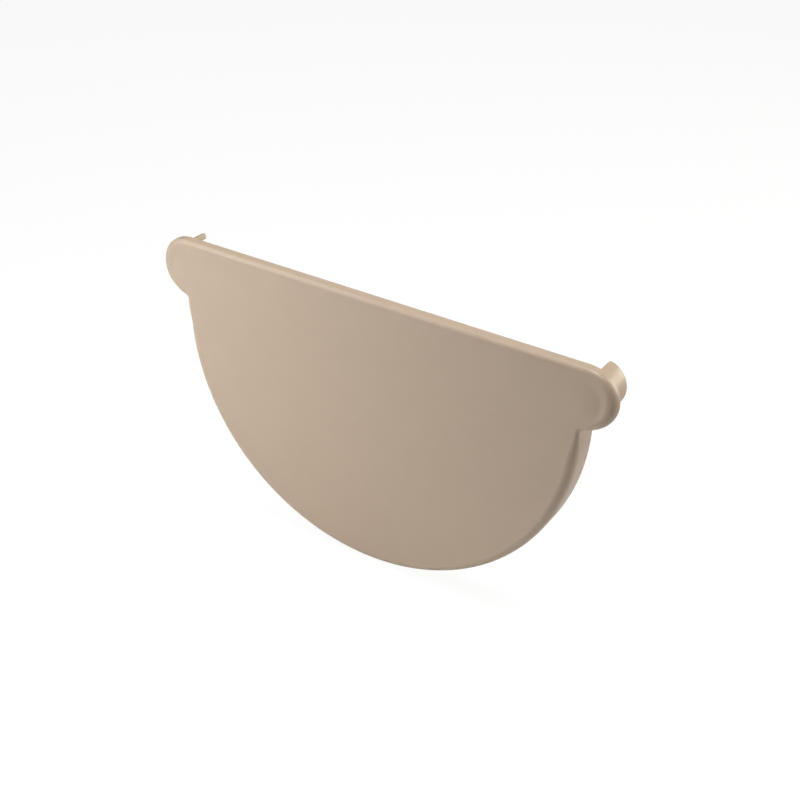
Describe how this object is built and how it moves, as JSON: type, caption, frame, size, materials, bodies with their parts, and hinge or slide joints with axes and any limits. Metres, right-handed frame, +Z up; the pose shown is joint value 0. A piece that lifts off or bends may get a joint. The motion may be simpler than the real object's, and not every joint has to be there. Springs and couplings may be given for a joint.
{
  "type": "gutter end cap",
  "caption": "Half-round gutter end cap: flat plate with round ears, a skirt and inner rib that take the gutter's end, and a hook behind each ear for its bead.",
  "frame": {"origin": "on the centre line of the gutter's half-round body, in the plane where the gutter's cut end stops against the inside of the plate", "axes": "+X across the gutter to the right as seen from the face, +Y into the gutter and away from the face, +Z up; the face looks along -Y"},
  "size_m": [0.1424, 0.0115, 0.0846],
  "materials": {
    "cap_plastic": "satin"
  },
  "bodies": {
    "root": {"end_cap": "cap_plastic"}
  },
  "joints": []
}
